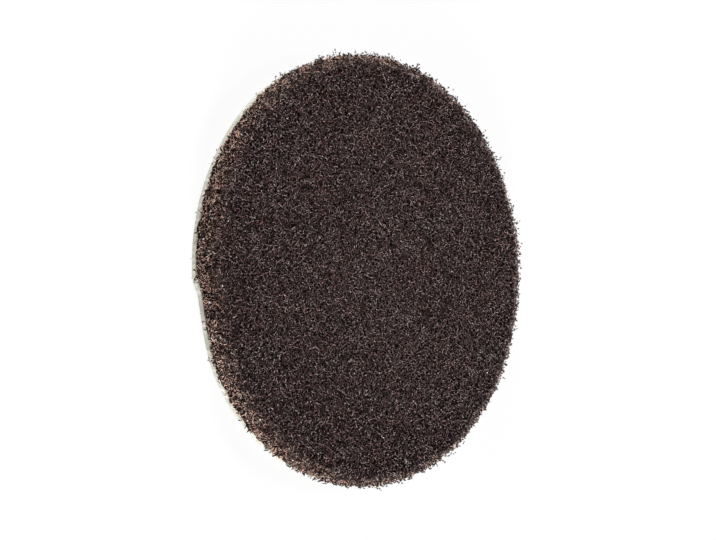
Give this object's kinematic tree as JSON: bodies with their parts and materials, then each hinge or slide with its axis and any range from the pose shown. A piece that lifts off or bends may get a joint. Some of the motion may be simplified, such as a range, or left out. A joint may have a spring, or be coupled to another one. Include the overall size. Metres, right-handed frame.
{
  "type": "abrasive fleece disc",
  "caption": "Round pad of dark brown abrasive fleece with a pale loop fabric bonded to its back, pressed onto a hooked sanding pad for cleaning and matting surfaces.",
  "frame": {"origin": "middle of the loop backing's underside, on the surface the disc lies on", "axes": "+Z along the disc's axis, out of the working face; -Y towards the small step in the cut rim"},
  "size_m": [0.125, 0.125, 0.0105],
  "materials": {
    "fleece": "open web of dark brown resin-coated fibres with fine grain",
    "loop_fabric": "pale grey knitted loop fabric"
  },
  "bodies": {
    "root": {"fleece_pad": "fleece", "loop_backing": "loop_fabric"}
  },
  "joints": []
}
